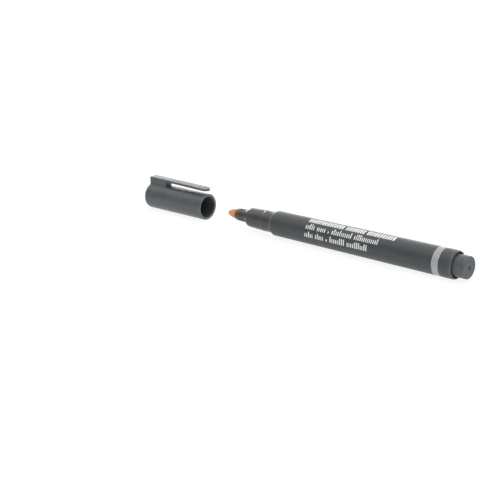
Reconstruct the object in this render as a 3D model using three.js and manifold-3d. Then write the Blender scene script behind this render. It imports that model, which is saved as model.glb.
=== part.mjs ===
// A counterfeit detector pen: a felt-tipped marker that lies on a table with its cap pulled off
// and left in line, in front of the nib, clip up.
// Units are millimetres and +Z is up. Every turned piece shares one axis, which runs along X.
// A "station" is a place along that axis, measured from the tip of the nib towards the tail, so the
// cap, which lies beyond the tip, has negative stations. The last lines move the whole pen so that
// the origin is under the middle of its length, on the surface that it lies on.

import * as THREE from "three";
import { mergeVertices } from "three/addons/utils/BufferGeometryUtils.js";
import Module from "manifold-3d";

const wasm = await Module();
wasm.setup();

// ---- Driving dimensions ----

const SIDES = 40; // flats round a turned piece, one of which faces straight down
const BODY_RADIUS = 6.2; // the cap, and the barrel at its tail: the pen lies on this radius
const FIT_GAP = 0.1; // between a piece and the seat that holds it
const CLIP_GAP = 0.3; // where the springy arm of the clip leaves its root block

// Stations of the ends of the pieces
const NOSE_LIP = 5.6;
const COLLAR_FRONT = 12.9;
const BARREL_FRONT = 28.5;
const BARREL_REAR = 123.7;
const PLUG_END = 129.2;
const CAP_CLOSED_END = -49.2;
const CAP_MOUTH = -13.2;
const CAP_TRAVEL = 41.4; // from where the cap lies to where its mouth meets the barrel

// Nib
const NIB_RADIUS = 2.25;
const NIB_BULLET_LENGTH = 5.2;
const NIB_TAIL = 44;
const NIB_TAIL_CONE = 2;

// Nib holder: the nose tube, the collar that the cap grips, and the spigot in the barrel
const NOSE_FRONT_RADIUS = 2.7;
const NOSE_ROOT_RADIUS = 2.9;
const NOSE_FLARE_FROM = 10.6; // the nose tube spreads in a hollow curve to meet the collar
const NOSE_FLARE_HEIGHT = 0.8;
const NOSE_RIBS = 8;
const NOSE_RIB_HEIGHT = 0.2;
const NOSE_RIB_WIDTH = 0.6;
const COLLAR_FRONT_RADIUS = 4.5;
const COLLAR_RADIUS = 4.78;
const COLLAR_STRAIGHT_FROM = 22;
const COLLAR_SHOULDER_LENGTH = 1.9;
const COLLAR_SHOULDER_DEPTH = 0.8;
const SNAP_BEAD_AT = 23.2;
const SNAP_BEAD_WIDTH = 1;
const STOP_RING_FROM = 27.2;
const BEAD_HEIGHT = 0.1;
const SPIGOT_RADIUS = 4.5;
const SPIGOT_END = 34.5;
const HOLDER_CHAMBER_RADIUS = 3.6;
const HOLDER_CHAMBER_FROM = 21;

// Barrel
const BARREL_FRONT_RADIUS = 5.7;
const BARREL_TAPER_FROM = 29.1;
const BARREL_TAPER_TO = 118;
const BARREL_FRONT_BORE = 4.6;
const BARREL_FRONT_BORE_TO = 34.8;
const BARREL_BORE = 4.9;
const BARREL_FRONT_ROUND = 0.8;
const BARREL_REAR_ROUND_LENGTH = 1.4;
const BARREL_REAR_ROUND_DEPTH = 0.4;
const REAR_RECESS_RADIUS = 5.5;
const REAR_RECESS_FLOOR = 120.7;

// Accent ring, let into the barrel flush
const RING_FROM = 114.4;
const RING_TO = 117.7;
const RING_SEAT_RADIUS = 5.6;

// End plug
const PLUG_RADIUS = 4.9;
const PLUG_SPIGOT_RADIUS = 4.8;
const PLUG_SPIGOT_FROM = 108;
const PLUG_FLANGE_RADIUS = 5.4;
const PLUG_FLANGE_THICKNESS = 0.8;
const PLUG_HOLLOW_RADIUS = 3.8;
const PLUG_END_WALL = 1.5;
const PLUG_EDGE_ROUND = 0.5;
const PLUG_DIMPLE_RADIUS = 0.9;
const PLUG_DIMPLE_DEPTH = 0.8;

// Ink reservoir and the film round it
const RESERVOIR_FROM = 35.2;
const RESERVOIR_TO = 107.3;
const RESERVOIR_RADIUS = 4.2;
const RESERVOIR_SOCKET_END = 44.6;
const FILM_RADIUS = 4.5;
const FILM_THICKNESS = 0.2;
const FILM_OVERHANG = 0.2;

// Cap shell
const CAP_BORE = 4.95;
const CAP_END_WALL = 1.8;
const CAP_END_ROUND = 1.6;
const CAP_MOUTH_ROUND = 0.25;
const SNAP_GROOVE_DEPTH = 0.12;

// Inner cap, the liner that seals round the nose tube
const LINER_RADIUS = 4.1;
const LINER_BORE = 3.3;
const LINER_FLANGE_THICKNESS = 1.2;
const LINER_MOUTH = -30.8;

// Clip: heights are above the axis
const CLIP_ROOT_WIDTH = 4.2;
const CLIP_TIP_WIDTH = 4.7;
const CLIP_TIP_LENGTH = 2.8; // of the half oval that ends the clip, seen from above
const CLIP_TOP = 9.5;
const CLIP_UNDERSIDE = 8.3;
const CLIP_TIP_TOP = 9.25;
const CLIP_TIP_UNDERSIDE = 8.02;
const CLIP_NOSE_TOP = 8.95;
const CLIP_NOSE_UNDERSIDE = 8;
const CLIP_BACK = -48.4;
const CLIP_BACK_ROUND = 0.15;
const CLIP_ARM_FROM = -38.2;
const CLIP_BEND = -15.9;
const CLIP_NOSE = -12.2;
const CLIP_ROOT_DEPTH = 5.3; // the foot of the root block, inside the cap's wall

const MIDDLE = (CAP_CLOSED_END + PLUG_END) / 2;

// ---- Materials ----

const darkPlastic = { color: 0x50555a, roughness: 0.5, metalness: 0 };
const lightPlastic = { color: 0xb3b5b7, roughness: 0.5, metalness: 0 };
const linerPlastic = { color: 0x3a3d40, roughness: 0.45, metalness: 0 };
const nibFibre = { color: 0xd9904f, roughness: 0.9, metalness: 0 };
const reservoirFibre = { color: 0xd8b98a, roughness: 0.95, metalness: 0 };
const clearFilm = { color: 0xe6e6e2, roughness: 0.3, metalness: 0 };

// ---- Helpers ----

// A quarter or half round in the plane of station and radius, with its two ends. Its depth across
// the axis is its size along it, unless another depth is given.
function arc(station, radius, size, fromDegrees, toDegrees, steps = 4, depth = size) {
  const points = [];
  for (let i = 0; i <= steps; i += 1) {
    const angle = THREE.MathUtils.degToRad(THREE.MathUtils.lerp(fromDegrees, toDegrees, i / steps));
    points.push([station + size * Math.cos(angle), radius + depth * Math.sin(angle)]);
  }
  return points;
}

// The outline is a list of [station, radius]. Its radii are those of the circle that the flats
// touch, so that a flat, and not a corner, is BODY_RADIUS below the axis.
function turned(outline) {
  const cornerScale = 1 / Math.cos(Math.PI / SIDES);
  const points = outline.map(([station, radius]) => new THREE.Vector2(radius * cornerScale, station));
  const geometry = new THREE.LatheGeometry(points, SIDES, Math.PI / SIDES);
  geometry.rotateZ(-Math.PI / 2);
  return geometry;
}

// A tube's outline starts at a point and comes back to it.
function closed(outline) {
  return [...outline, outline[0]];
}

// The outline is a list of [station, height], extruded across the pen and centred on its axis.
function slab(outline, width) {
  const shape = new THREE.Shape(outline.map(([station, height]) => new THREE.Vector2(station, height)));
  const geometry = new THREE.ExtrudeGeometry(shape, { depth: width, bevelEnabled: false });
  geometry.translate(0, 0, -width / 2);
  geometry.rotateX(Math.PI / 2);
  return geometry;
}

// The outline is a list of [station, across], extruded upwards between two heights.
function planSlab(outline, low, high) {
  const shape = new THREE.Shape(outline.map(([station, across]) => new THREE.Vector2(station, across)));
  const geometry = new THREE.ExtrudeGeometry(shape, { depth: high - low, bevelEnabled: false });
  geometry.translate(0, 0, low);
  return geometry;
}

function solidFrom(geometry) {
  const bare = geometry.clone();
  bare.deleteAttribute("normal");
  bare.deleteAttribute("uv");
  const merged = mergeVertices(bare, 1e-4);
  const mesh = new wasm.Mesh({
    numProp: 3,
    vertProperties: merged.attributes.position.array,
    triVerts: new Uint32Array(merged.index.array),
  });
  return new wasm.Manifold(mesh);
}

function geometryFrom(solid) {
  const mesh = solid.getMesh();
  const geometry = new THREE.BufferGeometry();
  geometry.setAttribute("position", new THREE.BufferAttribute(mesh.vertProperties, 3));
  geometry.setIndex(new THREE.BufferAttribute(mesh.triVerts, 1));
  geometry.computeVertexNormals();
  return geometry;
}

function joined(first, ...others) {
  const solid = others.reduce((sum, next) => sum.add(solidFrom(next)), solidFrom(first));
  return geometryFrom(solid);
}

function inBoth(first, second) {
  return geometryFrom(solidFrom(first).intersect(solidFrom(second)));
}

function piece(name, geometry, look) {
  const mesh = new THREE.Mesh(geometry, new THREE.MeshStandardMaterial(look));
  mesh.name = name;
  return mesh;
}

// ---- Outer shape of the barrel ----

function barrelRadius(station) {
  const along = (station - BARREL_TAPER_FROM) / (BARREL_TAPER_TO - BARREL_TAPER_FROM);
  return THREE.MathUtils.lerp(BARREL_FRONT_RADIUS, BODY_RADIUS, THREE.MathUtils.clamp(along, 0, 1));
}

// ---- Pieces of the pen ----

// The point is ground to a bullet, and the tail is pushed into the reservoir.
function nib() {
  const bulletSteps = 8;
  const pointedness = 1.7;
  const outline = [];
  for (let i = 0; i < bulletSteps; i += 1) {
    const station = NIB_BULLET_LENGTH * (i / bulletSteps) ** 1.5;
    const left = (NIB_BULLET_LENGTH - station) / NIB_BULLET_LENGTH;
    outline.push([station, NIB_RADIUS * Math.sqrt(1 - left ** pointedness)]);
  }
  outline.push([NIB_BULLET_LENGTH, NIB_RADIUS]);
  outline.push([NIB_TAIL - NIB_TAIL_CONE, NIB_RADIUS]);
  outline.push([NIB_TAIL, NIB_RADIUS / 2]);
  outline.push([NIB_TAIL, 0]);
  return piece("nib", turned(outline), nibFibre);
}

function holderOutline() {
  const flareLength = COLLAR_FRONT - NOSE_FLARE_FROM;
  const flareRound = (flareLength ** 2 + NOSE_FLARE_HEIGHT ** 2) / (2 * NOSE_FLARE_HEIGHT);
  const flareTurn = THREE.MathUtils.radToDeg(Math.asin(flareLength / flareRound));
  const lipRound = 0.15;
  const nibBore = NIB_RADIUS + FIT_GAP;
  const shoulderFoot = COLLAR_FRONT_RADIUS - COLLAR_SHOULDER_DEPTH;
  const shoulder = arc(
    COLLAR_FRONT + COLLAR_SHOULDER_LENGTH,
    shoulderFoot,
    COLLAR_SHOULDER_LENGTH,
    180,
    90,
    6,
    COLLAR_SHOULDER_DEPTH,
  );
  const beadTop = COLLAR_RADIUS + BEAD_HEIGHT;
  return closed([
    [NOSE_LIP, nibBore],
    ...arc(NOSE_LIP + lipRound, NOSE_FRONT_RADIUS - lipRound, lipRound, 180, 90, 2),
    ...arc(NOSE_FLARE_FROM, NOSE_ROOT_RADIUS + flareRound, flareRound, 270, 270 + flareTurn),
    ...shoulder.slice(1),
    [COLLAR_STRAIGHT_FROM, COLLAR_RADIUS],
    [SNAP_BEAD_AT - SNAP_BEAD_WIDTH / 2, COLLAR_RADIUS],
    [SNAP_BEAD_AT, beadTop],
    [SNAP_BEAD_AT + SNAP_BEAD_WIDTH / 2, COLLAR_RADIUS],
    [STOP_RING_FROM - BEAD_HEIGHT, COLLAR_RADIUS],
    [STOP_RING_FROM, beadTop],
    [BARREL_FRONT - FIT_GAP, beadTop],
    [BARREL_FRONT - FIT_GAP, SPIGOT_RADIUS],
    [SPIGOT_END, SPIGOT_RADIUS],
    [SPIGOT_END, HOLDER_CHAMBER_RADIUS],
    [HOLDER_CHAMBER_FROM, HOLDER_CHAMBER_RADIUS],
    [HOLDER_CHAMBER_FROM, nibBore],
  ]);
}

// Each rib runs along the nose tube and dies away before the lip. Air reaches the ink between them.
function noseRib(index) {
  const rib = slab(
    [
      [NOSE_LIP + 1, NOSE_FRONT_RADIUS - NOSE_RIB_HEIGHT],
      [COLLAR_FRONT + 0.2, NOSE_FRONT_RADIUS - NOSE_RIB_HEIGHT],
      [COLLAR_FRONT + 0.2, NOSE_ROOT_RADIUS + NOSE_RIB_HEIGHT],
      [NOSE_LIP + 2, NOSE_FRONT_RADIUS + NOSE_RIB_HEIGHT],
    ],
    NOSE_RIB_WIDTH,
  );
  rib.rotateX((index / NOSE_RIBS) * 2 * Math.PI);
  return rib;
}

function nibHolder() {
  const ribs = Array.from({ length: NOSE_RIBS }, (_, index) => noseRib(index));
  return piece("nib_holder", joined(turned(holderOutline()), ...ribs), darkPlastic);
}

function barrel() {
  const frontFace = BARREL_FRONT_RADIUS - BARREL_FRONT_ROUND;
  const rearFace = BODY_RADIUS - BARREL_REAR_ROUND_DEPTH;
  const rearRoundFrom = BARREL_REAR - BARREL_REAR_ROUND_LENGTH;
  const outline = closed([
    [BARREL_FRONT, BARREL_FRONT_BORE],
    ...arc(BARREL_FRONT + BARREL_FRONT_ROUND, frontFace, BARREL_FRONT_ROUND, 180, 90),
    [RING_FROM, barrelRadius(RING_FROM)],
    [RING_FROM, RING_SEAT_RADIUS],
    [RING_TO, RING_SEAT_RADIUS],
    [RING_TO, barrelRadius(RING_TO)],
    [BARREL_TAPER_TO, BODY_RADIUS],
    ...arc(rearRoundFrom, rearFace, BARREL_REAR_ROUND_LENGTH, 90, 0, 5, BARREL_REAR_ROUND_DEPTH),
    [BARREL_REAR, REAR_RECESS_RADIUS],
    [REAR_RECESS_FLOOR, REAR_RECESS_RADIUS],
    [REAR_RECESS_FLOOR, BARREL_BORE],
    [BARREL_FRONT_BORE_TO, BARREL_BORE],
    [BARREL_FRONT_BORE_TO, BARREL_FRONT_BORE],
  ]);
  return piece("barrel", turned(outline), darkPlastic);
}

function accentRing() {
  const outline = closed([
    [RING_FROM + FIT_GAP, RING_SEAT_RADIUS + FIT_GAP],
    [RING_FROM + FIT_GAP, barrelRadius(RING_FROM)],
    [RING_TO - FIT_GAP, barrelRadius(RING_TO)],
    [RING_TO - FIT_GAP, RING_SEAT_RADIUS + FIT_GAP],
  ]);
  return piece("accent_ring", turned(outline), lightPlastic);
}

// A cup, open towards the reservoir, whose flange seats on the floor of the barrel's rear recess.
function endPlug() {
  const flangeFrom = REAR_RECESS_FLOOR + FIT_GAP;
  const flangeTo = flangeFrom + PLUG_FLANGE_THICKNESS;
  const outline = [
    [PLUG_END - PLUG_END_WALL, 0],
    [PLUG_END - PLUG_END_WALL, PLUG_HOLLOW_RADIUS],
    [PLUG_SPIGOT_FROM, PLUG_HOLLOW_RADIUS],
    [PLUG_SPIGOT_FROM, PLUG_SPIGOT_RADIUS],
    [flangeFrom, PLUG_SPIGOT_RADIUS],
    [flangeFrom, PLUG_FLANGE_RADIUS],
    [flangeTo, PLUG_FLANGE_RADIUS],
    [flangeTo, PLUG_RADIUS],
    ...arc(PLUG_END - PLUG_EDGE_ROUND, PLUG_RADIUS - PLUG_EDGE_ROUND, PLUG_EDGE_ROUND, 90, 0),
    [PLUG_END, PLUG_DIMPLE_RADIUS],
    [PLUG_END - PLUG_DIMPLE_DEPTH, PLUG_DIMPLE_RADIUS / 2],
    [PLUG_END - PLUG_DIMPLE_DEPTH, 0],
  ];
  return piece("end_plug", turned(outline), darkPlastic);
}

// A rod of bonded fibre with a blind socket for the nib's tail.
function inkReservoir() {
  const socketRadius = NIB_RADIUS + FIT_GAP;
  const outline = [
    [RESERVOIR_SOCKET_END, 0],
    [RESERVOIR_SOCKET_END, socketRadius],
    [RESERVOIR_FROM, socketRadius],
    [RESERVOIR_FROM, RESERVOIR_RADIUS],
    [RESERVOIR_TO, RESERVOIR_RADIUS],
    [RESERVOIR_TO, 0],
  ];
  return piece("ink_reservoir", turned(outline), reservoirFibre);
}

function reservoirFilm() {
  const outline = closed([
    [RESERVOIR_FROM - FILM_OVERHANG, FILM_RADIUS - FILM_THICKNESS],
    [RESERVOIR_FROM - FILM_OVERHANG, FILM_RADIUS],
    [RESERVOIR_TO + FILM_OVERHANG, FILM_RADIUS],
    [RESERVOIR_TO + FILM_OVERHANG, FILM_RADIUS - FILM_THICKNESS],
  ]);
  return piece("reservoir_film", turned(outline), clearFilm);
}

// ---- Pieces of the cap ----

function clipRoot() {
  const backRound = arc(CLIP_BACK + CLIP_BACK_ROUND, CLIP_TOP - CLIP_BACK_ROUND, CLIP_BACK_ROUND, 90, 180, 3);
  const outline = [
    [CLIP_BACK, CLIP_ROOT_DEPTH],
    [CLIP_ARM_FROM, CLIP_ROOT_DEPTH],
    [CLIP_ARM_FROM, CLIP_TOP],
    ...backRound,
  ];
  return slab(outline, CLIP_ROOT_WIDTH);
}

function capShell() {
  const snapGroove = SNAP_BEAD_AT - CAP_TRAVEL;
  const edge = CAP_MOUTH_ROUND;
  const wall = turned([
    [CAP_CLOSED_END, 0],
    ...arc(CAP_CLOSED_END + CAP_END_ROUND, BODY_RADIUS - CAP_END_ROUND, CAP_END_ROUND, 180, 90),
    ...arc(CAP_MOUTH - edge, BODY_RADIUS - edge, edge, 90, 0, 2),
    ...arc(CAP_MOUTH - edge, CAP_BORE + edge, edge, 0, -90, 2),
    [snapGroove + SNAP_BEAD_WIDTH / 2, CAP_BORE],
    [snapGroove, CAP_BORE + SNAP_GROOVE_DEPTH],
    [snapGroove - SNAP_BEAD_WIDTH / 2, CAP_BORE],
    [CAP_CLOSED_END + CAP_END_WALL, CAP_BORE],
    [CAP_CLOSED_END + CAP_END_WALL, 0],
  ]);
  return piece("cap_shell", joined(wall, clipRoot()), darkPlastic);
}

// The springy arm leans a little towards the cap, and its top falls away at the nose. Seen from above,
// it widens towards its tip, which is half an oval.
function clipArm() {
  const root = CLIP_ARM_FROM + CLIP_GAP;
  const side = [
    [root, CLIP_UNDERSIDE],
    [CLIP_BEND, CLIP_TIP_UNDERSIDE],
    [CLIP_NOSE, CLIP_NOSE_UNDERSIDE],
    [CLIP_NOSE, CLIP_NOSE_TOP],
    [CLIP_BEND, CLIP_TIP_TOP],
    [root, CLIP_TOP],
  ];
  const plan = [
    [root, -CLIP_ROOT_WIDTH / 2],
    ...arc(CLIP_NOSE - CLIP_TIP_LENGTH, 0, CLIP_TIP_LENGTH, -90, 90, 16, CLIP_TIP_WIDTH / 2),
    [root, CLIP_ROOT_WIDTH / 2],
  ];
  const arm = inBoth(slab(side, CLIP_TIP_WIDTH), planSlab(plan, CLIP_NOSE_UNDERSIDE, CLIP_TOP));
  return piece("clip_arm", arm, darkPlastic);
}

// A flanged cup at the closed end of the cap, whose mouth faces the pen.
function innerCap() {
  const base = CAP_CLOSED_END + CAP_END_WALL + FIT_GAP;
  const flangeTo = base + LINER_FLANGE_THICKNESS;
  const outline = [
    [base, 0],
    [base, CAP_BORE - FIT_GAP],
    [flangeTo, CAP_BORE - FIT_GAP],
    [flangeTo, LINER_RADIUS],
    [LINER_MOUTH, LINER_RADIUS],
    [LINER_MOUTH, LINER_BORE],
    [flangeTo, LINER_BORE],
    [flangeTo, 0],
  ];
  return piece("inner_cap", turned(outline), linerPlastic);
}

// ---- The pen, standing in its own frame ----

const pen = new THREE.Group();
pen.add(nib(), nibHolder(), barrel(), accentRing(), endPlug(), inkReservoir(), reservoirFilm());
pen.add(capShell(), clipArm(), innerCap());
pen.position.set(-MIDDLE, 0, BODY_RADIUS);

const part = new THREE.Group();
part.add(pen);

export default part;
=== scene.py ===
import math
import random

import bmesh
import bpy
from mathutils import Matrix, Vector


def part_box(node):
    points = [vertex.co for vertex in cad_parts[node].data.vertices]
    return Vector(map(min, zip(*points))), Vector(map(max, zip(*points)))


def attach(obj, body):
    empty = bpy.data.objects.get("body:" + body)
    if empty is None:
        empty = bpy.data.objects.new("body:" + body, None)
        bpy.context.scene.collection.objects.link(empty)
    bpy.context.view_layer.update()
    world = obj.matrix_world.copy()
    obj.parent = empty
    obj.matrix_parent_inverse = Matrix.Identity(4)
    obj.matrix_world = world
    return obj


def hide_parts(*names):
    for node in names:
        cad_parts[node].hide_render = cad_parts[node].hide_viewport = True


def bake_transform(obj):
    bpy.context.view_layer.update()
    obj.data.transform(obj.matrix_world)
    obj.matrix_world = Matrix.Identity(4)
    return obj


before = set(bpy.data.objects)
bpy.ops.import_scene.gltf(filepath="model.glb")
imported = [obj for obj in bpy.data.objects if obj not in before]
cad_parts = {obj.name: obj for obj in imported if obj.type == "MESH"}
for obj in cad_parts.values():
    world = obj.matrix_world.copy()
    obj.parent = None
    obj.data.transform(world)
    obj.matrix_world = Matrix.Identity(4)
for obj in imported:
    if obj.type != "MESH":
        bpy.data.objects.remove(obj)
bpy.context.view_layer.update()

# The looks of a counterfeit detector pen that lies with its cap off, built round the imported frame.
#
# Places along the pen are "stations", in millimetres from the nib's tip towards the tail. Outlines are
# lists of (station, radius), and heights are above the pen's axis. point_at turns them into metres. The
# ends and radii of the pieces come from the frame, and the details are sized below.

MM = 0.001
NEARLY_ZERO = 1e-6

# ---- Sizes that the frame gives ----

TIP_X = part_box("nib")[0].x
AXIS_Z = (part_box("nib")[0].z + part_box("nib")[1].z) / 2


def low(node):
    """The station of a node's end nearest the cap."""
    return (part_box(node)[0].x - TIP_X) / MM


def high(node):
    """The station of a node's end nearest the tail."""
    return (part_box(node)[1].x - TIP_X) / MM


def radius_of(node):
    """The radius of a node that is round about the pen's axis, or half the width of the clip."""
    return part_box(node)[1].y / MM


BODY_RADIUS = radius_of("barrel")
BARREL_FRONT, BARREL_REAR = low("barrel"), high("barrel")
RING_FROM, RING_TO = low("accent_ring"), high("accent_ring")
NOSE_LIP, SPIGOT_END = low("nib_holder"), high("nib_holder")
PLUG_FROM, PLUG_END = low("end_plug"), high("end_plug")
CAP_BACK, CAP_MOUTH = low("cap_shell"), high("cap_shell")
LINER_BACK, LINER_MOUTH = low("inner_cap"), high("inner_cap")
CLIP_NOSE = high("clip_arm")
CLIP_TOP = (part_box("clip_arm")[1].z - AXIS_Z) / MM

# ---- Sizes of the details ----

SEAM = 0.04  # the fine line where one piece is pressed into another
TURN_STEPS = 192  # round the pen, for the pieces that are seen
HIDDEN_TURN_STEPS = 96

# Nose tube, with its bore, its ribs and the hollow flare at its root
NOSE_BORE = radius_of("nib") + SEAM
NOSE_FRONT_RADIUS = 2.7
NOSE_ROOT_RADIUS = 2.9
NOSE_FLARE_FROM = NOSE_LIP + 5
NOSE_FLARE_HEIGHT = 0.8
NOSE_RIBS = 8
NOSE_RIB_HEIGHT = 0.2

# Collar that the cap grips, and the spigot behind it
COLLAR_FRONT = NOSE_LIP + 7.3
COLLAR_FRONT_RADIUS = 4.5
COLLAR_SHOULDER_LENGTH = 1.9
COLLAR_SHOULDER_DEPTH = 0.8
COLLAR_STRAIGHT_FROM = COLLAR_FRONT + 9.1
COLLAR_RADIUS = 4.78
STOP_RING_FROM = BARREL_FRONT - 1.3
SPIGOT_RADIUS = 4.5

# Barrel
BARREL_FRONT_RADIUS = 5.7
BARREL_FRONT_BORE = 4.6
BARREL_BORE = 4.9
BORE_STEP = SPIGOT_END + 0.3  # where the narrow bore at the front ends
BARREL_FRONT_ROUND = 0.8
BARREL_REAR_ROUND_LENGTH = 1.4
BARREL_REAR_ROUND_DEPTH = 0.4
TAPER_FROM = BARREL_FRONT + 0.6
TAPER_TO = BARREL_REAR - 5.7
REAR_RECESS_RADIUS = 5.5
REAR_RECESS_DEPTH = 3.0
PRINT_FROM = BARREL_FRONT + 20.3

# Cap
CAP_END_ROUND = 1.6
CAP_END_WALL = 1.8
CAP_BORE = 4.95

# Clip. Its root block runs from its back to where the arm starts. The arm's top and underside slope
# evenly to the bend near its tip, and from there to its nose.
CLIP_BACK = CAP_BACK + 0.8
CLIP_ARM_FROM = low("clip_arm") - 0.3
CLIP_BEND = CLIP_NOSE - 3.7
CLIP_HOLDING_GAP = 0.05  # between sections that hold the shading close to an edge
CLIP_ROOT_WIDTH = 4.2
CLIP_TIP_WIDTH = 2 * radius_of("clip_arm")
CLIP_TIP_LENGTH = 2.8  # of the half oval that ends the clip
CLIP_ROOT_DEPTH = 5.3
CLIP_UNDERSIDE = CLIP_TOP - 1.2
CLIP_BEND_TOP = CLIP_TOP - 0.25
CLIP_BEND_UNDERSIDE = CLIP_TOP - 1.48
CLIP_NOSE_TOP = CLIP_TOP - 0.55
CLIP_NOSE_UNDERSIDE = CLIP_TOP - 1.5


# ---- Outlines ----

def arc(station, radius, size, start, end, steps=8, depth=None):
    """Points on a round about (station, radius), from one angle to another in degrees. 0 is towards
    the tail and 90 is outwards. size is its reach along the pen, and depth is its reach outwards,
    which is the same if it isn't given."""
    points = []
    for i in range(steps + 1):
        angle = math.radians(start + (end - start) * i / steps)
        across = (depth or size) * math.sin(angle)
        points.append((station + size * math.cos(angle), radius + across))
    return points


def between(value, start, end):
    """How far a value is from start to end, as 0 to 1."""
    return min(max((value - start) / (end - start), 0), 1)


def barrel_radius(station):
    """The barrel's outer radius, which grows evenly along its taper."""
    growth = BODY_RADIUS - BARREL_FRONT_RADIUS
    return BARREL_FRONT_RADIUS + growth * between(station, TAPER_FROM, TAPER_TO)


def with_holding_points(outline):
    """Adds a point near both ends of each long straight stretch, so that shading and wear stay
    close to the corners."""
    inset = 0.3
    shortest = 4 * inset
    held = [outline[0]]
    for (s0, r0), (s1, r1) in zip(outline, outline[1:]):
        length = math.hypot(s1 - s0, r1 - r0)
        if length > shortest:
            t = inset / length
            held.append((s0 + (s1 - s0) * t, r0 + (r1 - r0) * t))
            held.append((s1 + (s0 - s1) * t, r1 + (r0 - r1) * t))
        held.append((s1, r1))
    return held


def corner_wear(points, is_ring):
    """From 0 on flats and hollows to 1 on tight convex corners, for each point of an outline."""
    full_wear_radius = 0.5  # of a corner, in millimetres: tighter ones wear no more
    amounts = []
    for i, here in enumerate(points):
        if not is_ring and i in (0, len(points) - 1):
            amounts.append(0.0)
            continue
        before = points[i - 1]
        after = points[(i + 1) % len(points)]
        ax, ay = here[0] - before[0], here[1] - before[1]
        bx, by = after[0] - here[0], after[1] - here[1]
        turn = math.atan2(ay * bx - ax * by, ax * bx + ay * by)
        span = min(math.hypot(ax, ay), math.hypot(bx, by))
        amounts.append(min(max(turn / span * full_wear_radius, 0.0), 1.0))
    return amounts


# ---- Meshes ----

def point_at(station, across, height):
    """A point in metres: across the pen, and above its axis, in millimetres."""
    return Vector((TIP_X + station * MM, across * MM, AXIS_Z + height * MM))


def finish_mesh(name, bm, material, smooth_angle=35):
    """Makes the finished object, shaded smooth except at edges sharper than an angle in degrees."""
    bmesh.ops.recalc_face_normals(bm, faces=bm.faces)
    mesh = bpy.data.meshes.new(name)
    bm.to_mesh(mesh)
    bm.free()
    mesh.materials.append(material)
    mesh.polygons.foreach_set("use_smooth", [True] * len(mesh.polygons))
    mesh.set_sharp_from_angle(angle=math.radians(smooth_angle))
    piece = bpy.data.objects.new(name, mesh)
    bpy.context.scene.collection.objects.link(piece)
    return piece


def turned(name, outline, material, relief=None, steps=TURN_STEPS):
    """A piece turned about the pen's axis. relief(station, radius, angle) may add to the radius. An
    outline that ends where it starts is closed into a ring. A point on the axis is made only once, so
    the faces round it are triangles."""
    points = with_holding_points(outline)
    is_ring = math.dist(points[0], points[-1]) < NEARLY_ZERO
    if is_ring:
        points.pop()
    bm = bmesh.new()
    wear_layer = bm.verts.layers.float.new("wear")
    rows = []
    for (station, radius), wear in zip(points, corner_wear(points, is_ring)):
        row = []
        for k in range(steps if radius > NEARLY_ZERO else 1):
            angle = 2 * math.pi * k / steps
            r = radius + (relief(station, radius, angle) if relief else 0)
            vertex = bm.verts.new(point_at(station, r * math.cos(angle), r * math.sin(angle)))
            vertex[wear_layer] = wear
            row.append(vertex)
        rows.append(row)
    pairs = list(zip(rows, rows[1:])) + ([(rows[-1], rows[0])] if is_ring else [])
    for one, other in pairs:
        for k in range(steps):
            k2 = (k + 1) % steps
            corners = [one[k % len(one)], one[k2 % len(one)]]
            corners += [other[k2 % len(other)], other[k % len(other)]]
            bm.faces.new(list(dict.fromkeys(corners)))
    return finish_mesh(name, bm, material)


# ---- Materials ----

PLASTIC_IOR = 1.49


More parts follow.
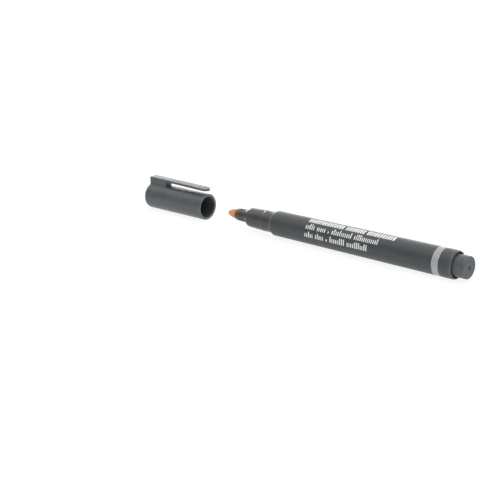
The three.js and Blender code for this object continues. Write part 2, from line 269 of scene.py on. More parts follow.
class Nodes:
    """Adds nodes to a material, new or given, and links them."""

    def __init__(self, name=None, material=None):
        self.material = material or bpy.data.materials.new(name)
        self.material.use_nodes = True
        self.tree = self.material.node_tree
        self.shader = self.tree.nodes["Principled BSDF"]
        self.place = self.tree.nodes.new("ShaderNodeTexCoord").outputs["Object"]

    def put(self, socket, value):
        """Links an output into the socket, or sets the socket to a constant."""
        if isinstance(value, bpy.types.NodeSocket):
            self.tree.links.new(value, socket)
        else:
            socket.default_value = value

    def scaled(self, scale):
        """The place on the piece, in units of 1/scale metres along X, Y and Z."""
        node = self.tree.nodes.new("ShaderNodeMapping")
        self.put(node.inputs["Vector"], self.place)
        node.inputs["Scale"].default_value = scale
        return node.outputs["Vector"]

    def noise(self, scale, detail, roughness=0.5):
        """A noise whose lumps are about 1/scale metres in size along X, Y and Z."""
        node = self.tree.nodes.new("ShaderNodeTexNoise")
        self.put(node.inputs["Vector"], self.scaled(scale))
        node.inputs["Scale"].default_value = 1.0
        node.inputs["Detail"].default_value = detail
        node.inputs["Roughness"].default_value = roughness
        return node.outputs["Fac"]

    def remap(self, value, low_in, high_in, low_out, high_out):
        """Stretches low_in to high_in over low_out to high_out, and stops at both ends."""
        node = self.tree.nodes.new("ShaderNodeMapRange")
        self.put(node.inputs["Value"], value)
        node.inputs["From Min"].default_value = low_in
        node.inputs["From Max"].default_value = high_in
        node.inputs["To Min"].default_value = low_out
        node.inputs["To Max"].default_value = high_out
        return node.outputs["Result"]

    def maths(self, operation, a, b):
        node = self.tree.nodes.new("ShaderNodeMath")
        node.operation = operation
        self.put(node.inputs[0], a)
        self.put(node.inputs[1], b)
        return node.outputs[0]

    def blend(self, factor, a, b):
        """Colour a where factor is 0 and colour b where it is 1."""
        node = self.tree.nodes.new("ShaderNodeMix")
        node.data_type = "RGBA"
        self.put(node.inputs[0], factor)
        self.put(node.inputs[6], a)
        self.put(node.inputs[7], b)
        return node.outputs[2]

    def wear(self):
        """How rubbed the corner is here, as corner_wear gives it."""
        node = self.tree.nodes.new("ShaderNodeAttribute")
        node.attribute_name = "wear"
        return node.outputs["Fac"]

    def station(self):
        """The station on the piece, in millimetres."""
        node = self.tree.nodes.new("ShaderNodeSeparateXYZ")
        self.put(node.inputs["Vector"], self.place)
        from_tip = self.maths("SUBTRACT", node.outputs["X"], TIP_X)
        return self.maths("DIVIDE", from_tip, MM)

    def base_colour(self):
        """The output that colours the material so far."""
        return self.shader.inputs["Base Color"].links[0].from_socket

    def bump(self, height, depth, strength, under=None):
        """Fine relief of a depth in millimetres, on top of another bump if one is given as under."""
        node = self.tree.nodes.new("ShaderNodeBump")
        node.inputs["Strength"].default_value = strength
        node.inputs["Distance"].default_value = depth * MM
        self.put(node.inputs["Height"], height)
        if under is not None:
            self.put(node.inputs["Normal"], under)
        return node.outputs["Normal"]


def rgb(r, g, b):
    return (r, g, b, 1.0)


def scaled_rgb(colour, factor):
    """The same colour, darker or lighter."""
    return rgb(*(channel * factor for channel in colour[:3]))


def moulded_plastic(name, colour, roughness, marks=1.0):
    """Satin moulded plastic: cloudy tone, mottle, fine grain, handling scratches and rubbed corners.
    marks is how strongly it is scratched and mottled."""
    n = Nodes(name)
    cloud = n.noise((120, 220, 220), detail=3)
    mottle = n.noise((520, 700, 700), detail=3, roughness=0.6)
    speck = n.noise((5200, 5200, 5200), detail=2, roughness=0.6)
    scuff = n.noise((260, 2600, 2600), detail=4, roughness=0.7)
    scratch = n.remap(scuff, 0.58, 0.70, 0, 1)
    rub = n.remap(n.noise((700, 700, 700), detail=4), 0.30, 0.60, 0, 1)
    worn = n.maths("MULTIPLY", n.wear(), rub)

    mottled = n.remap(mottle, 0.45, 0.75, 0, 0.30 * marks)
    speckled = n.remap(speck, 0.35, 0.75, 0, 0.40)
    scratched = n.maths("MULTIPLY", scratch, 0.15 * marks)
    rub_and_highlight = n.maths("MULTIPLY", worn, 0.45)
    tone = n.blend(n.remap(cloud, 0.3, 0.7, 0, 1), scaled_rgb(colour, 0.86), scaled_rgb(colour, 1.14))
    tone = n.blend(mottled, tone, scaled_rgb(colour, 1.5))
    tone = n.blend(speckled, tone, scaled_rgb(colour, 1.35))
    tone = n.blend(scratched, tone, scaled_rgb(colour, 2.2))
    tone = n.blend(rub_and_highlight, tone, scaled_rgb(colour, 2.4))
    n.put(n.shader.inputs["Base Color"], tone)

    dull = n.remap(cloud, 0.3, 0.7, roughness - 0.05, roughness + 0.05)
    dull = n.maths("ADD", dull, n.remap(mottle, 0.3, 0.7, -0.04 * marks, 0.04 * marks))
    dull = n.maths("ADD", dull, n.remap(speck, 0.3, 0.7, -0.03, 0.03))
    dull = n.maths("ADD", dull, n.maths("MULTIPLY", scratch, 0.08))
    n.put(n.shader.inputs["Roughness"], n.maths("SUBTRACT", dull, n.maths("MULTIPLY", worn, 0.08)))
    n.shader.inputs["IOR"].default_value = PLASTIC_IOR

    grain = n.bump(speck, depth=0.016, strength=0.7)
    lines = n.bump(n.maths("MULTIPLY", scratch, -1.0), depth=0.005, strength=0.7, under=grain)
    n.put(n.shader.inputs["Normal"], lines)
    return n.material


def nib_fibre(name):
    """Ground bonded fibre: streaks along the nib, damp orange, and dark brown towards its root."""
    deep_orange, pale_orange = rgb(0.56, 0.195, 0.072), rgb(0.75, 0.35, 0.135)
    amber, brown = rgb(0.68, 0.36, 0.126), rgb(0.13, 0.055, 0.018)
    n = Nodes(name)
    streak = n.noise((1400, 9000, 9000), detail=4, roughness=0.65)
    blotch = n.noise((900, 900, 900), detail=3)
    ragged_station = n.maths("ADD", n.station(), n.remap(blotch, 0.3, 0.7, -0.35, 0.35))
    darker_near_lip = n.remap(ragged_station, NOSE_LIP - 0.7, NOSE_LIP + 0.2, 0, 1)
    colour = n.blend(n.remap(streak, 0.35, 0.65, 0, 1), deep_orange, pale_orange)
    colour = n.blend(n.remap(blotch, 0.40, 0.65, 0, 0.45), colour, amber)
    colour = n.blend(darker_near_lip, colour, brown)
    n.put(n.shader.inputs["Base Color"], colour)
    n.put(n.shader.inputs["Roughness"], n.remap(streak, 0.3, 0.7, 0.62, 0.86))
    n.shader.inputs["Sheen Weight"].default_value = 0.25
    n.shader.inputs["Sheen Roughness"].default_value = 0.5
    n.shader.inputs["Subsurface Weight"].default_value = 0.12
    n.shader.inputs["Subsurface Radius"].default_value = (0.6 * MM, 0.3 * MM, 0.15 * MM)
    n.shader.inputs["Subsurface Scale"].default_value = 1.0
    fine = n.bump(streak, depth=0.06, strength=0.8)
    n.put(n.shader.inputs["Normal"], n.bump(blotch, depth=0.08, strength=0.5, under=fine))
    return n.material


def reservoir_fibre(name):
    """Loose lengthwise fibre, soaked with pale amber ink towards the nib."""
    dark_fibre, pale_fibre, ink = rgb(0.70, 0.66, 0.58), rgb(0.86, 0.83, 0.76), rgb(0.60, 0.33, 0.12)
    n = Nodes(name)
    streak = n.noise((300, 7000, 7000), detail=4, roughness=0.7)
    soaked = n.remap(n.station(), low("ink_reservoir"), high("ink_reservoir"), 0.9, 0.35)
    dry = n.blend(n.remap(streak, 0.3, 0.7, 0, 1), dark_fibre, pale_fibre)
    n.put(n.shader.inputs["Base Color"], n.blend(soaked, dry, ink))
    n.put(n.shader.inputs["Roughness"], n.remap(streak, 0.3, 0.7, 0.78, 0.95))
    n.put(n.shader.inputs["Normal"], n.bump(streak, depth=0.05, strength=0.8))
    return n.material


def thin_film(name):
    """Pale crinkled polymer film round the reservoir."""
    n = Nodes(name)
    crinkle = n.noise((90, 500, 500), detail=4, roughness=0.6)
    pale = n.blend(n.remap(crinkle, 0.3, 0.7, 0, 1), rgb(0.74, 0.73, 0.69), rgb(0.84, 0.83, 0.80))
    n.put(n.shader.inputs["Base Color"], pale)
    n.put(n.shader.inputs["Roughness"], n.remap(crinkle, 0.3, 0.7, 0.18, 0.34))
    n.put(n.shader.inputs["Normal"], n.bump(crinkle, depth=0.04, strength=0.6))
    return n.material


def print_ink(name):
    """White pad-printed ink, a little thin in places."""
    full_white, thin_white = rgb(0.86, 0.87, 0.88), rgb(0.50, 0.52, 0.53)
    n = Nodes(name)
    cover = n.noise((2600, 2600, 2600), detail=4, roughness=0.7)
    thin = n.remap(cover, 0.30, 0.46, 0.45, 0)
    n.put(n.shader.inputs["Base Color"], n.blend(thin, full_white, thin_white))
    n.put(n.shader.inputs["Roughness"], n.remap(cover, 0.3, 0.7, 0.42, 0.58))
    n.put(n.shader.inputs["Normal"], n.bump(cover, depth=0.006, strength=0.5))
    return n.material


def floor_paper(name):
    """White paper on a lit table. It glows, which keeps the shadow under the pen light."""
    n = Nodes(name)
    tooth = n.noise((1500, 1500, 1500), detail=3)
    n.put(n.shader.inputs["Base Color"], n.blend(tooth, rgb(0.18, 0.18, 0.18), rgb(0.22, 0.22, 0.22)))
    n.put(n.shader.inputs["Roughness"], n.remap(tooth, 0.3, 0.7, 0.85, 0.95))
    n.shader.inputs["Specular IOR Level"].default_value = 0.0
    n.shader.inputs["Emission Color"].default_value = rgb(1.0, 1.0, 1.0)
    n.shader.inputs["Emission Strength"].default_value = 0.86
    return n.material


def darkened_lip_plastic_with_painted_highlight(name, colour, roughness):
    """The holder's moulded plastic, brown at the lip, then dark green behind it, with ragged edges.
    The stop ring in front of the barrel has a painted highlight: a pale line painted round it."""
    green, brown = rgb(0.024, 0.050, 0.026), rgb(0.17, 0.075, 0.024)
    # Painted highlight: a pale line painted round the stop ring, where its edge catches the light.
    painted_highlight_line_at = BARREL_FRONT - 0.55
    material = moulded_plastic(name, colour, roughness)
    n = Nodes(material=material)
    raggedness = n.noise((500, 700, 700), detail=3)
    ragged_station = n.maths("ADD", n.station(), n.remap(raggedness, 0.3, 0.7, -0.7, 0.7))
    in_green = n.remap(ragged_station, NOSE_LIP + 1.9, NOSE_LIP + 3.2, 0.9, 0)
    in_brown = n.remap(ragged_station, NOSE_LIP + 0.8, NOSE_LIP + 1.7, 1, 0)
    # The painted highlight line round the stop ring, paler the nearer its middle.
    from_painted_highlight_line = n.maths("ABSOLUTE", n.maths("SUBTRACT", n.station(), painted_highlight_line_at), 0.0)
    on_painted_highlight_line = n.remap(from_painted_highlight_line, 0.15, 0.35, 0.7, 0)
    darker_near_lip = n.blend(in_green, n.base_colour(), green)
    darker_near_lip = n.blend(in_brown, darker_near_lip, brown)
    n.put(n.shader.inputs["Base Color"], n.blend(on_painted_highlight_line, darker_near_lip, scaled_rgb(colour, 3.2)))
    return material


def rim_highlight_plastic(name, colour, roughness):
    """The barrel's moulded plastic, with a painted highlight: paler towards the rounded rim at its
    tail.
    """
    material = moulded_plastic(name, colour, roughness)
    n = Nodes(material=material)
    # Painted highlight: paler over the last stretch before the rim, where its round catches the light.
    rub_and_highlight = n.remap(n.station(), BARREL_REAR - 1.7, BARREL_REAR - 0.8, 0, 0.5)
    n.put(n.shader.inputs["Base Color"], n.blend(rub_and_highlight, n.base_colour(), scaled_rgb(colour, 2.3)))
    return material


BODY_GREY = rgb(0.043, 0.050, 0.053)
HOLDER_GREY = rgb(0.043, 0.047, 0.047)
# Lighter than the barrel's grey. Part of that is painted light: the grey was raised to make up for the
# shade that the clip casts on the cap.
CAP_GREY_PAINTED_LIGHTER = scaled_rgb(BODY_GREY, 1.58)
LINER_BLACK = rgb(0.030, 0.033, 0.036)
RING_GREY = rgb(0.335, 0.34, 0.345)

BODY_PLASTIC = rim_highlight_plastic("body_plastic", BODY_GREY, roughness=0.44)
HOLDER_PLASTIC = darkened_lip_plastic_with_painted_highlight("holder_plastic", HOLDER_GREY, roughness=0.26)
PLUG_PLASTIC = moulded_plastic("plug_plastic", CAP_GREY_PAINTED_LIGHTER, roughness=0.46)
CAP_PLASTIC = moulded_plastic("cap_plastic", CAP_GREY_PAINTED_LIGHTER, roughness=0.36, marks=1.6)
LINER_PLASTIC = moulded_plastic("liner_plastic", LINER_BLACK, roughness=0.40)
RING_PLASTIC = moulded_plastic("ring_plastic", RING_GREY, roughness=0.40)
NIB_FIBRE = nib_fibre("nib_fibre")
RESERVOIR_FIBRE = reservoir_fibre("reservoir_fibre")
FILM = thin_film("film")
PRINT_INK = print_ink("print_ink")


def add_piece(piece, body, slot, *stands_for):
    """Lets a piece ride on a body, and stand for CAD nodes where it shows them."""
    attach(piece, body)
    if stands_for:
        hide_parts(*stands_for)


# ---- Pieces of the pen ----

def make_nib():
    """A bullet with a straight tail behind it, which ends in a cone."""
    bullet_length = 5.2
    bullet_steps = 28
    crowding = 1.8  # of the points towards the tip, where the bullet is tightly round
    pointedness = 1.7  # 2 would be half an oval
    tail_cone = 2.0
    radius = radius_of("nib")
    outline = []
    for i in range(bullet_steps):
        station = bullet_length * (i / bullet_steps) ** crowding
        left = (bullet_length - station) / bullet_length
        outline.append((station, radius * math.sqrt(1 - left ** pointedness)))
    outline += [(bullet_length, radius), (high("nib") - tail_cone, radius)]
    outline += [(high("nib"), radius / 2), (high("nib"), 0)]
    return turned("nib_bullet", outline, NIB_FIBRE)


def nose_rib_relief(station, radius, angle):
    """Low ribs along the nose tube, rounded across. They start a little behind the lip, and run out
    where the flare climbs past them."""
    start = NOSE_LIP + 1.0
    full = NOSE_LIP + 1.8
    in_bore = radius < NOSE_BORE + 0.1
    if in_bore or not start <= station <= COLLAR_FRONT:
        return 0.0
    crest = between(math.cos(angle * NOSE_RIBS), 0.5, 0.8)
    rounded = crest * crest * (3 - 2 * crest)
    left = 1 - between(radius, NOSE_ROOT_RADIUS, NOSE_ROOT_RADIUS + NOSE_RIB_HEIGHT)
    return NOSE_RIB_HEIGHT * rounded * between(station, start, full) * left


def nose_outline():
    """From the bore's edge at the lip, along the nose tube and up its flare to the collar."""
    lip_round = 0.18
    tube_steps = 14
    tube_from = NOSE_LIP + lip_round
    outline = [(NOSE_LIP, NOSE_BORE)]
    outline += arc(tube_from, NOSE_FRONT_RADIUS - lip_round, lip_round, 180, 90, steps=5)
    for i in range(1, tube_steps):
        t = i / tube_steps
        station = tube_from + (NOSE_FLARE_FROM - tube_from) * t
        outline.append((station, NOSE_FRONT_RADIUS + (NOSE_ROOT_RADIUS - NOSE_FRONT_RADIUS) * t))
    flare_length = COLLAR_FRONT - NOSE_FLARE_FROM
    flare_round = (flare_length ** 2 + NOSE_FLARE_HEIGHT ** 2) / (2 * NOSE_FLARE_HEIGHT)
    flare_turn = math.degrees(math.asin(flare_length / flare_round))
    flare_centre = NOSE_ROOT_RADIUS + flare_round
    outline += arc(NOSE_FLARE_FROM, flare_centre, flare_round, 270, 270 + flare_turn, steps=10)
    return outline


def collar_outline():
    """From the foot of the collar's shoulder, over the bead that clicks into the cap's groove, to the
    back of the stop ring."""
    bead_at = BARREL_FRONT - 5.3
    bead_half = 0.42
    bead_height = 0.07
    bead_steps = 8
    stop_slope = 0.3
    stop_radius = COLLAR_RADIUS + 0.1
    shoulder_to = COLLAR_FRONT + COLLAR_SHOULDER_LENGTH
    shoulder_foot = COLLAR_FRONT_RADIUS - COLLAR_SHOULDER_DEPTH
    outline = arc(
        shoulder_to, shoulder_foot, COLLAR_SHOULDER_LENGTH, 180, 90,
        steps=10, depth=COLLAR_SHOULDER_DEPTH,
    )
    outline += [(COLLAR_STRAIGHT_FROM, COLLAR_RADIUS), (bead_at - bead_half, COLLAR_RADIUS)]
    for i in range(1, bead_steps):
        angle = math.pi * i / bead_steps
        lift = bead_height * math.sin(angle) ** 1.5
        outline.append((bead_at - bead_half * math.cos(angle), COLLAR_RADIUS + lift))
    outline += [(bead_at + bead_half, COLLAR_RADIUS), (STOP_RING_FROM - stop_slope, COLLAR_RADIUS)]
    outline += [(STOP_RING_FROM, stop_radius), (BARREL_FRONT - SEAM, stop_radius)]
    return outline


def make_nib_holder():
    """Nose tube, collar and spigot in one moulding, with the nib's bore and a chamber behind it."""
    chamber_from = COLLAR_FRONT + 8.1
    chamber_radius = 3.6
    outline = nose_outline()
    outline += collar_outline()[1:]
    outline += [(BARREL_FRONT - SEAM, SPIGOT_RADIUS), (SPIGOT_END, SPIGOT_RADIUS)]
    outline += [(SPIGOT_END, chamber_radius), (chamber_from, chamber_radius)]
    outline += [(chamber_from, NOSE_BORE), (NOSE_LIP, NOSE_BORE)]
    return turned("nib_holder_moulding", outline, HOLDER_PLASTIC, relief=nose_rib_relief)


def make_barrel():
    """A tapered tube, grooved for the accent ring, and recessed at its tail for the end plug."""
    groove_floor = radius_of("accent_ring") - 0.58
    recess_chamfer = 0.08
    front_face = BARREL_FRONT_RADIUS - BARREL_FRONT_ROUND
    rear_face = BODY_RADIUS - BARREL_REAR_ROUND_DEPTH
    rear_round_from = BARREL_REAR - BARREL_REAR_ROUND_LENGTH
    recess_floor = BARREL_REAR - REAR_RECESS_DEPTH
    outline = [(BARREL_FRONT, BARREL_FRONT_BORE)]
    outline += arc(BARREL_FRONT + BARREL_FRONT_ROUND, front_face, BARREL_FRONT_ROUND, 180, 90)
    outline += [(RING_FROM - SEAM, barrel_radius(RING_FROM)), (RING_FROM - SEAM, groove_floor)]
    outline += [(RING_TO + SEAM, groove_floor), (RING_TO + SEAM, barrel_radius(RING_TO))]
    outline += [(TAPER_TO, BODY_RADIUS)]
    outline += arc(
        rear_round_from, rear_face, BARREL_REAR_ROUND_LENGTH, 90, 0,
        steps=10, depth=BARREL_REAR_ROUND_DEPTH,
    )
    outline += [(BARREL_REAR, REAR_RECESS_RADIUS + recess_chamfer)]
    outline += [(BARREL_REAR - recess_chamfer, REAR_RECESS_RADIUS)]
    outline += [(recess_floor, REAR_RECESS_RADIUS), (recess_floor, BARREL_BORE)]
    outline += [(BORE_STEP, BARREL_BORE), (BORE_STEP, BARREL_FRONT_BORE)]
    outline += [(BARREL_FRONT, BARREL_FRONT_BORE)]
    return turned("barrel_tube", outline, BODY_PLASTIC)


def make_accent_ring():
    """A thin ring that lies flush in the barrel's groove, with softened edges."""
    soft = 0.05
    inner = radius_of("accent_ring") - 0.52
    front_radius = barrel_radius(RING_FROM)
    rear_radius = barrel_radius(RING_TO)
    outline = [(RING_FROM, inner), (RING_FROM, front_radius - soft)]
    outline += [(RING_FROM + soft, front_radius), (RING_TO - soft, rear_radius)]
    outline += [(RING_TO, rear_radius - soft), (RING_TO, inner), (RING_FROM, inner)]
    return turned("accent_band", outline, RING_PLASTIC)


def make_end_plug():
    """A hollow plug with a flange in the barrel's recess, and a round dimple in its end face."""
    radius = 4.9
    hollow = 3.8
    end_wall = 1.5
    edge = 0.55
    press_fit_radius = radius - 0.1
    flange_thickness = 0.8
    flange_radius = radius_of("end_plug")
    flange_from = BARREL_REAR - REAR_RECESS_DEPTH + SEAM
    flange_to = flange_from + flange_thickness
    dimple_radius = 1.5
    dimple_depth = 0.8
    dimple_steps = 8
    outline = [(PLUG_END - end_wall, 0), (PLUG_END - end_wall, hollow), (PLUG_FROM, hollow)]
    outline += [(PLUG_FROM, press_fit_radius), (flange_from, press_fit_radius)]
    outline += [(flange_from, flange_radius), (flange_to, flange_radius), (flange_to, radius)]
    outline += arc(PLUG_END - edge, radius - edge, edge, 90, 0)
    for i in range(dimple_steps + 1):
        t = i / dimple_steps
        sunk = dimple_depth * (1 - math.cos(math.pi * t)) / 2
        outline.append((PLUG_END - sunk, dimple_radius * (1 - t)))
    return turned("end_plug_moulding", outline, PLUG_PLASTIC)


def make_reservoir():
    """A rod of fibre, with a socket in its front end for the nib's tail."""
    radius = radius_of("ink_reservoir")
    front, back = low("ink_reservoir"), high("ink_reservoir")
    socket_radius = radius_of("nib") + 0.1
    socket_end = high("nib") + 0.6
    outline = [(socket_end, 0), (socket_end, socket_radius), (front, socket_radius)]
    outline += [(front, radius), (back, radius), (back, 0)]
    return turned("ink_reservoir_fibre", outline, RESERVOIR_FIBRE, steps=HIDDEN_TURN_STEPS)


def make_film():
    """The film round the reservoir, open at both ends."""
    radius = radius_of("reservoir_film")
    inner = radius - 0.2
    front, back = low("reservoir_film"), high("reservoir_film")
    outline = [(front, inner), (front, radius), (back, radius), (back, inner), (front, inner)]
    return turned("reservoir_wrap", outline, FILM, steps=HIDDEN_TURN_STEPS)


# ---- The print: rows of plain strokes, with no lettering ----

def stroke_sheet(bm, start, end, angle, height, proud, steps_along, steps_round):
    """A grid of points that follows the barrel. proud is how far above its surface they lie."""
    grid = []
    for j in range(steps_round + 1):
        turn = math.radians(angle) + (j / steps_round - 0.5) * height / BODY_RADIUS
        row = []
        for i in range(steps_along + 1):
            station = start + (end - start) * i / steps_along
            radius = barrel_radius(station) + proud
            place = point_at(station, -radius * math.sin(turn), radius * math.cos(turn))
            row.append(bm.verts.new(place))
        grid.append(row)
    return grid


def stroke_on_barrel(bm, start, end, angle, height):
    """A thin raised bar on the barrel, from one station to another, with its foot sunk in. angle is
    where its middle is round the barrel, in degrees from the top towards -Y, and height is its length
    round the barrel in millimetres."""
    thickness = 0.03
    steps_along, steps_round = 2, 8
    top = stroke_sheet(bm, start, end, angle, height, thickness, steps_along, steps_round)
    foot = stroke_sheet(bm, start, end, angle, height, -thickness, steps_along, steps_round)
    for grid in (top, foot):
        for j in range(steps_round):
            for i in range(steps_along):
                bm.faces.new((grid[j][i], grid[j][i + 1], grid[j + 1][i + 1], grid[j + 1][i]))
    rim = [(0, i) for i in range(steps_along)]
    rim += [(j, steps_along) for j in range(steps_round)]
    rim += [(steps_round, i) for i in range(steps_along, 0, -1)]
    rim += [(j, 0) for j in range(steps_round, 0, -1)]
    for (j0, i0), (j1, i1) in zip(rim, rim[1:] + rim[:1]):
        bm.faces.new((top[j0][i0], top[j1][i1], foot[j1][i1], foot[j0][i0]))


def print_row(bm, shapes, groups, angle, height, stroke, gap, short_chance):
    """A row of strokes in groups of the given numbers of strokes. Some strokes are shorter, on the
    same lower line, and a stroke that stands alone is the shortest."""
    group_gap = 1.0
    short_share, lone_share = 0.66, 0.4
    station = PRINT_FROM
    for strokes in groups:
        for _ in range(strokes):
            share = short_share if shapes.random() < short_chance else 1.0
            if strokes == 1:
                share = lone_share
            tall = height * share
            lowered = angle + math.degrees((height - tall) / 2 / BODY_RADIUS)
            width = stroke * shapes.uniform(0.85, 1.3)
            stroke_on_barrel(bm, station, station + width, lowered, tall)
            station += width + gap
        station += group_gap


def make_print():
    """One row of broad strokes near the top of the barrel, and two of fine ones below it."""
    broad = {"height": 2.9, "stroke": 0.84, "gap": 0.40, "short_chance": 0.0}
    fine = {"height": 2.8, "stroke": 0.44, "gap": 0.52, "short_chance": 0.6}
    bm = bmesh.new()
    shapes = random.Random(7)  # a fixed seed, so the strokes are the same each time
    print_row(bm, shapes, (15, 8, 11), angle=16, **broad)
    print_row(bm, shapes, (5, 5, 1, 11, 13), angle=51, **fine)
    print_row(bm, shapes, (5, 5, 1, 8, 11), angle=87, **fine)
    return finish_mesh("barrel_print", bm, PRINT_INK)


# ---- Pieces of the cap ----

def cap_radius(station):
    """The outer radius of the cap, with the round at its closed end."""
    into = CAP_BACK + CAP_END_ROUND - station
    if into <= 0:
        return BODY_RADIUS
    flat = BODY_RADIUS - CAP_END_ROUND
    return flat + math.sqrt(max(CAP_END_ROUND ** 2 - into ** 2, 0))


def make_cap_shell():
    """A tube with one closed end, a moulding gate in the middle of that end, and a groove in its bore
    that clicks over the collar's bead."""
    gate_radius = 0.8
    gate_slope = 0.15
    gate_floor = CAP_BACK + 0.12
    mouth_round = 0.25
    groove_at = CAP_MOUTH - 5.0
    groove_half = 0.5
    groove_depth = 0.12
    inside_back = CAP_BACK + CAP_END_WALL
    end_radius = BODY_RADIUS - CAP_END_ROUND
    mouth_round_from = CAP_MOUTH - mouth_round
    outline = [(gate_floor, 0), (gate_floor, gate_radius), (CAP_BACK, gate_radius + gate_slope)]
    outline += arc(CAP_BACK + CAP_END_ROUND, end_radius, CAP_END_ROUND, 180, 90, steps=12)
    outline += arc(mouth_round_from, BODY_RADIUS - mouth_round, mouth_round, 90, 0, steps=5)
    outline += arc(mouth_round_from, CAP_BORE + mouth_round, mouth_round, 0, -90, steps=5)
    outline += [(groove_at + groove_half, CAP_BORE), (groove_at, CAP_BORE + groove_depth)]
    outline += [(groove_at - groove_half, CAP_BORE), (inside_back, CAP_BORE), (inside_back, 0)]
    return turned("cap_tube", outline, CAP_PLASTIC)


def make_liner():
    """The inner cap: a cup that closes round the nose tube, with a flange against the cap's bore."""
    radius = 4.1
    bore = 3.3
    lip = 0.2
    flange_to = LINER_BACK + 1.2
    flange_radius = radius_of("inner_cap")
    outline = [(LINER_BACK, 0), (LINER_BACK, flange_radius)]
    outline += [(flange_to, flange_radius), (flange_to, radius)]
    outline += arc(LINER_MOUTH - lip, radius - lip, lip, 90, 0, steps=5)
    outline += arc(LINER_MOUTH - lip, bore + lip, lip, 0, -90, steps=5)
    outline += [(flange_to, bore), (flange_to, 0)]
    return turned("cap_liner_cup", outline, LINER_PLASTIC)


def clip_top(station):
    """The height of the clip's top: level over the root, falling a little to the bend, then faster."""
    fall = (CLIP_BEND_TOP - CLIP_TOP) * between(station, CLIP_ARM_FROM, CLIP_BEND)
    nose_fall = (CLIP_NOSE_TOP - CLIP_BEND_TOP) * between(station, CLIP_BEND, CLIP_NOSE)
    return CLIP_TOP + fall + nose_fall


def clip_underside(station):
    """The height of the arm's underside: falling a little to the bend, then nearly level."""
    fall = (CLIP_BEND_UNDERSIDE - CLIP_UNDERSIDE) * between(station, CLIP_ARM_FROM, CLIP_BEND)
    nose_fall = (CLIP_NOSE_UNDERSIDE - CLIP_BEND_UNDERSIDE) * between(station, CLIP_BEND, CLIP_NOSE)
    return CLIP_UNDERSIDE + fall + nose_fall


def clip_half_width(station):
    """Half the clip's width, changing evenly up to the tip, which is half an oval."""
    tip_centre = CLIP_NOSE - CLIP_TIP_LENGTH
    if station > tip_centre:
        return CLIP_TIP_WIDTH / 2 * math.sqrt(1 - between(station, tip_centre, CLIP_NOSE) ** 2)
    change = (CLIP_TIP_WIDTH - CLIP_ROOT_WIDTH) / 2
    return CLIP_ROOT_WIDTH / 2 + change * between(station, CLIP_ARM_FROM, tip_centre)


def clip_root_sections():
    """Cross-sections of the root block, from its rounded back edge to the arm."""
    back_round, side_round = 0.15, 0.1
    round_steps, block_steps = 4, 5
    end_gap = 0.01  # between the last section of the block and the first of the arm
    half_width = CLIP_ROOT_WIDTH / 2
    block_from = CLIP_BACK + back_round
    block_length = CLIP_ARM_FROM - end_gap - block_from
    sections = []
    for i in range(round_steps + 1):
        angle = math.radians(90 * i / round_steps)
        left = 1 - math.sin(angle)
        station = CLIP_BACK + back_round * (1 - math.cos(angle))
        narrowed = half_width - side_round * left
        sections.append((station, narrowed, CLIP_ROOT_DEPTH, CLIP_TOP - back_round * left))
    sections.append((block_from + CLIP_HOLDING_GAP, half_width, CLIP_ROOT_DEPTH, CLIP_TOP))
    for i in range(1, block_steps + 1):
        station = block_from + block_length * i / block_steps
        sections.append((station, half_width, CLIP_ROOT_DEPTH, CLIP_TOP))
    return sections


def clip_arm_sections():
    """Cross-sections of the arm, from the fillet under its root to its nose."""
    fillet = 0.35
    fillet_steps, arm_steps, tip_steps = 4, 36, 14
    crowding = 1.3  # of the sections towards the root, where the arm bends
    nose_half_width = 0.1
    nose_inset = 0.1
    sections = []
    for i in range(fillet_steps + 1):
        angle = math.radians(90 * i / fillet_steps)
        station = CLIP_ARM_FROM + fillet * (1 - math.cos(angle))
        under = clip_underside(station) - fillet * (1 - math.sin(angle))
        sections.append((station, clip_half_width(station), under, clip_top(station)))
    arm_from = CLIP_ARM_FROM + fillet
    arm_to = CLIP_NOSE - CLIP_TIP_LENGTH
    stations = [CLIP_BEND - CLIP_HOLDING_GAP, CLIP_BEND, CLIP_BEND + CLIP_HOLDING_GAP]
    for i in range(1, arm_steps + 1):
        stations.append(arm_from + (arm_to - arm_from) * (i / arm_steps) ** crowding)
    for i in range(1, tip_steps):
        stations.append(arm_to + CLIP_TIP_LENGTH * math.sin(math.radians(90 * i / tip_steps)))
    for station in sorted(stations):
        sections.append((station, clip_half_width(station), clip_underside(station), clip_top(station)))
    nose_low, nose_high = CLIP_NOSE_UNDERSIDE + nose_inset, CLIP_NOSE_TOP - nose_inset
    sections.append((CLIP_NOSE, nose_half_width, nose_low, nose_high))
    return sections


def rounded_section(half_width, lowest, highest):
    """A rectangle with round corners and a slightly crowned top, as (across, height, wear). It runs
    from the foot of the +Y side over the top to the foot of the other."""
    crown = 0.04
    corner_steps, top_steps = 4, 6
    corner_wear_most = 0.8
    corner = min(0.22, half_width * 0.6)
    reach = half_width - corner
    top_reach = reach * 0.97  # which holds the shading of the flat top close to its corners
    side = []
    for height, start in ((lowest + corner, -90), (highest - crown - corner, 0)):
        for i in range(corner_steps + 1):
            angle = math.radians(start + 90 * i / corner_steps)
            wear = corner_wear_most * math.sin(math.pi * i / corner_steps)
            side.append((reach + corner * math.cos(angle), height + corner * math.sin(angle), wear))
    top = []
    for i in range(top_steps + 1):
        across = top_reach * (1 - 2 * i / top_steps)
        top.append((across, highest - crown * (across / reach) ** 2, 0.0))
    other_side = [(-across, height, wear) for across, height, wear in reversed(side)]
    return side + top + other_side


def bridge(bm, one, other):
    """Faces between two closed rings with the same number of points."""
    for k in range(len(one)):
        k2 = (k + 1) % len(one)
        bm.faces.new((one[k], one[k2], other[k2], other[k]))


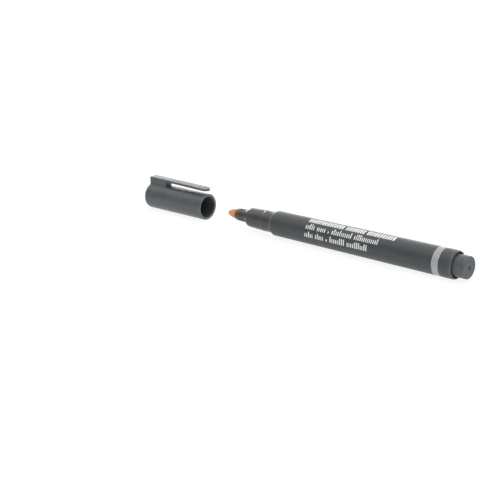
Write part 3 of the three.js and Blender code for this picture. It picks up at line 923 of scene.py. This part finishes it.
def make_clip():
    """The root block and the arm as one moulding."""
    bm = bmesh.new()
    wear_layer = bm.verts.layers.float.new("wear")
    rings = []
    for station, half_width, lowest, highest in clip_root_sections() + clip_arm_sections():
        ring = []
        for across, height, wear in rounded_section(half_width, lowest, highest):
            vertex = bm.verts.new(point_at(station, across, height))
            vertex[wear_layer] = wear
            ring.append(vertex)
        rings.append(ring)
    for one, other in zip(rings, rings[1:]):
        bridge(bm, one, other)
    bm.faces.new(rings[0])
    bm.faces.new(rings[-1])
    return finish_mesh("cap_clip", bm, CAP_PLASTIC, smooth_angle=40)


def clip_foot_walk(corner):
    """A walk round the plan of the root block, as a station and a place across for the centre of each
    corner's round, and the direction straight out from it. The straight sides slide that centre."""
    corner_steps, side_steps = 6, 8
    middle = (CLIP_BACK + CLIP_ARM_FROM) / 2
    half_length = (CLIP_ARM_FROM - CLIP_BACK) / 2 - corner
    half_width = CLIP_ROOT_WIDTH / 2 - corner
    signs = ((1, 1), (-1, 1), (-1, -1), (1, -1))
    walk = []
    for quarter in range(4):
        sx, sy = signs[quarter]
        next_sx, next_sy = signs[(quarter + 1) % 4]
        for i in range(corner_steps + 1):
            angle = math.radians(90 * quarter + 90 * i / corner_steps)
            centre = (middle + sx * half_length, sy * half_width)
            walk.append((*centre, math.cos(angle), math.sin(angle)))
        side_angle = math.radians(90 * (quarter + 1))
        for i in range(1, side_steps):
            t = i / side_steps
            centre_x = middle + half_length * (sx + (next_sx - sx) * t)
            centre_y = half_width * (sy + (next_sy - sy) * t)
            walk.append((centre_x, centre_y, math.cos(side_angle), math.sin(side_angle)))
    return walk


def make_clip_foot():
    """The small fillet that runs round the clip's root block where it meets the cap. Its back and its
    foot are sunk into the block and the cap."""
    fillet = 0.45
    corner = 0.35
    arc_steps = 6
    overlap_with_block, overlap_with_cap = 0.02, 0.01
    foot_depth = 0.06
    back_depth = 0.15
    profile = []  # how far out of the block, and how high above the cap
    for i in range(arc_steps + 1):
        angle = math.radians(90 * i / arc_steps)
        out = fillet * (1 - math.cos(angle)) - overlap_with_block
        lift = fillet * (1 - math.sin(angle)) - overlap_with_cap
        profile.append((out, lift))
    profile += [(fillet, -foot_depth), (-back_depth, -foot_depth), (-back_depth, fillet)]
    bm = bmesh.new()
    wear_layer = bm.verts.layers.float.new("wear")
    rings = []
    for centre_x, centre_y, out_x, out_y in clip_foot_walk(corner):
        ring = []
        for out, lift in profile:
            station = centre_x + out_x * (corner + out)
            across = centre_y + out_y * (corner + out)
            cap_height = math.sqrt(cap_radius(station) ** 2 - across ** 2)
            vertex = bm.verts.new(point_at(station, across, cap_height + lift))
            vertex[wear_layer] = 0.0
            ring.append(vertex)
        rings.append(ring)
    for one, other in zip(rings, rings[1:] + rings[:1]):
        bridge(bm, one, other)
    return finish_mesh("clip_foot", bm, CAP_PLASTIC, smooth_angle=50)


# ---- Building it ----

add_piece(make_nib(), "pen", "nib_fibre", "nib")
add_piece(make_nib_holder(), "pen", "holder_plastic", "nib_holder")
add_piece(make_barrel(), "pen", "body_plastic", "barrel")
add_piece(make_accent_ring(), "pen", "ring_plastic", "accent_ring")
add_piece(make_end_plug(), "pen", "plug_plastic", "end_plug")
add_piece(make_reservoir(), "pen", "reservoir_fibre", "ink_reservoir")
add_piece(make_film(), "pen", "film", "reservoir_film")
add_piece(make_print(), "pen", "print_ink")
add_piece(make_cap_shell(), "cap", "cap_plastic", "cap_shell")
add_piece(make_clip_foot(), "cap", "cap_plastic")
add_piece(make_liner(), "cap_liner", "liner_plastic", "inner_cap")

clip = make_clip()
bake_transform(clip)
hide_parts("clip_arm")


# ---- Floor, light and camera ----

def make_floor():
    """A square floor, 6 m wide, that the pen lies on."""
    half_width = 3.0
    bm = bmesh.new()
    bmesh.ops.create_grid(bm, x_segments=2, y_segments=2, size=half_width)
    floor = finish_mesh("floor", bm, floor_paper("floor_paper"))


def soft_light(name, place, size, power):
    """A square or oblong lamp that faces the pen. Sizes are in metres and powers in watts."""
    aim = Vector((0, 0, 0.01))
    light = bpy.data.lights.new(name, "AREA")
    light.shape = "RECTANGLE"
    light.size, light.size_y = size
    light.energy = power
    lamp = bpy.data.objects.new(name, light)
    lamp.location = place
    lamp.visible_camera = False
    lamp.rotation_euler = (aim - Vector(place)).to_track_quat("-Z", "Y").to_euler()
    bpy.context.scene.collection.objects.link(lamp)


def make_lights():
    """Broad light from above and behind, and a small lamp that gives the collar its highlights."""
    soft_light("overhead", place=(-0.2, 0.1, 1.4), size=(3.0, 2.8), power=27.0)
    soft_light("backdrop", place=(-0.9, 1.8, 0.5), size=(3.6, 1.0), power=22.0)
    soft_light("glint", place=(-0.85, 0.53, 0.36), size=(0.17, 0.17), power=1.7)
    world = bpy.data.worlds.new("studio")
    world.use_nodes = True
    background = world.node_tree.nodes["Background"]
    background.inputs["Color"].default_value = rgb(1.0, 1.0, 1.0)
    background.inputs["Strength"].default_value = 0.48
    bpy.context.scene.world = world


def make_camera():
    """Looks across the pen from beyond its tail, a little above it, with the -Y side in view."""
    azimuth = math.radians(39.6)
    elevation = math.radians(17.76)
    from_nib = Vector((390.49, -456.58, 173.73)) * MM  # from the nib's tip to the camera
    camera_data = bpy.data.cameras.new("camera")
    camera_data.lens = 96.4
    camera_data.sensor_width = 36
    camera_data.clip_start, camera_data.clip_end = 0.02, 20
    camera = bpy.data.objects.new("camera", camera_data)
    camera.location = point_at(0, 0, 0) + from_nib
    looking = Vector((
        -math.sin(azimuth) * math.cos(elevation),
        math.cos(azimuth) * math.cos(elevation),
        -math.sin(elevation),
    ))
    camera.rotation_euler = looking.to_track_quat("-Z", "Y").to_euler()
    bpy.context.scene.collection.objects.link(camera)
    bpy.context.scene.camera = camera


make_floor()
make_lights()
make_camera()
bpy.context.scene.view_settings.view_transform = "Standard"
